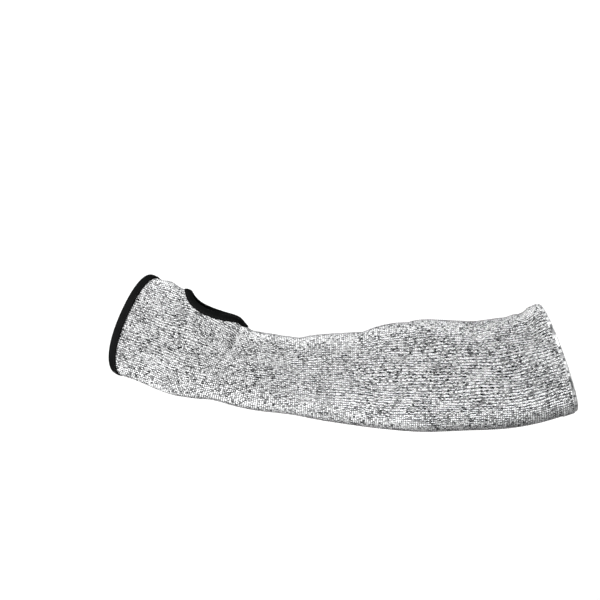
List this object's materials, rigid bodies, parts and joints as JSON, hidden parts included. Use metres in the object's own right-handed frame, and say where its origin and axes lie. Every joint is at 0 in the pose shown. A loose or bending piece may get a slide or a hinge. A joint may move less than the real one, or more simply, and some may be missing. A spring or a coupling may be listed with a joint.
{
  "type": "cut resistant sleeve",
  "caption": "Worn knitted arm sleeve with a thumb hole, taped hand opening and a turned welt at the arm end.",
  "frame": {"origin": "middle of the wrist, on the sleeve's centreline, where a wearer's wrist holds the sleeve", "axes": "+X up the arm towards the elbow end, +Y towards the palm side, +Z towards the thumb side"},
  "size_m": [0.4186, 0.0907, 0.1413],
  "materials": {
    "knit": "salt and pepper grey seamless knit of light and dark yarn",
    "binding": "matte black folded tape"
  },
  "bodies": {
    "root": {"sleeve_body": "knit", "hand_binding": "binding", "thumb_binding": "binding"}
  },
  "joints": []
}
